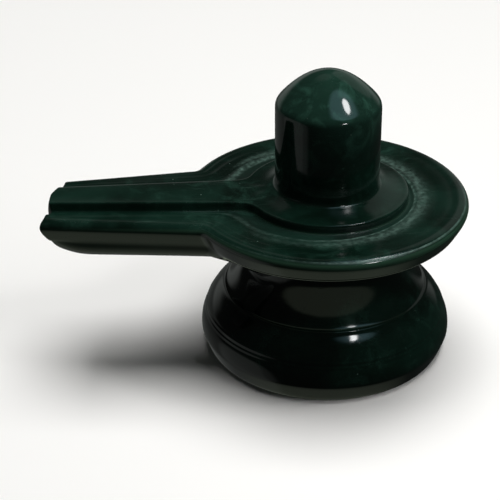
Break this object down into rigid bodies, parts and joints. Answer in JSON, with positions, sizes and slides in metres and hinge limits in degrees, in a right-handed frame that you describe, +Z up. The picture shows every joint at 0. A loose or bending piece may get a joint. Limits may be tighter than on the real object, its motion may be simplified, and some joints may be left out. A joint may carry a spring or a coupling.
{
  "type": "shiva lingam",
  "caption": "Small tabletop shiva lingam of polished green stone: a domed pillar on a round basin with a long channelled spout, over a waisted round foot.",
  "frame": {"origin": "middle of the flat underside of the round foot, on the axis that the foot, waist, dish and pillar share", "axes": "+Z up along the pillar, -X along the spout towards its tip, +Y to the side of the spout that the picture shows as the far one"},
  "size_m": [0.0984, 0.0654, 0.0692],
  "materials": {
    "green_stone": "polished to a gloss, dark green with cloudy lighter veins and fine pale specks"
  },
  "bodies": {
    "root": {"shiva_lingam": "green_stone"}
  },
  "joints": []
}
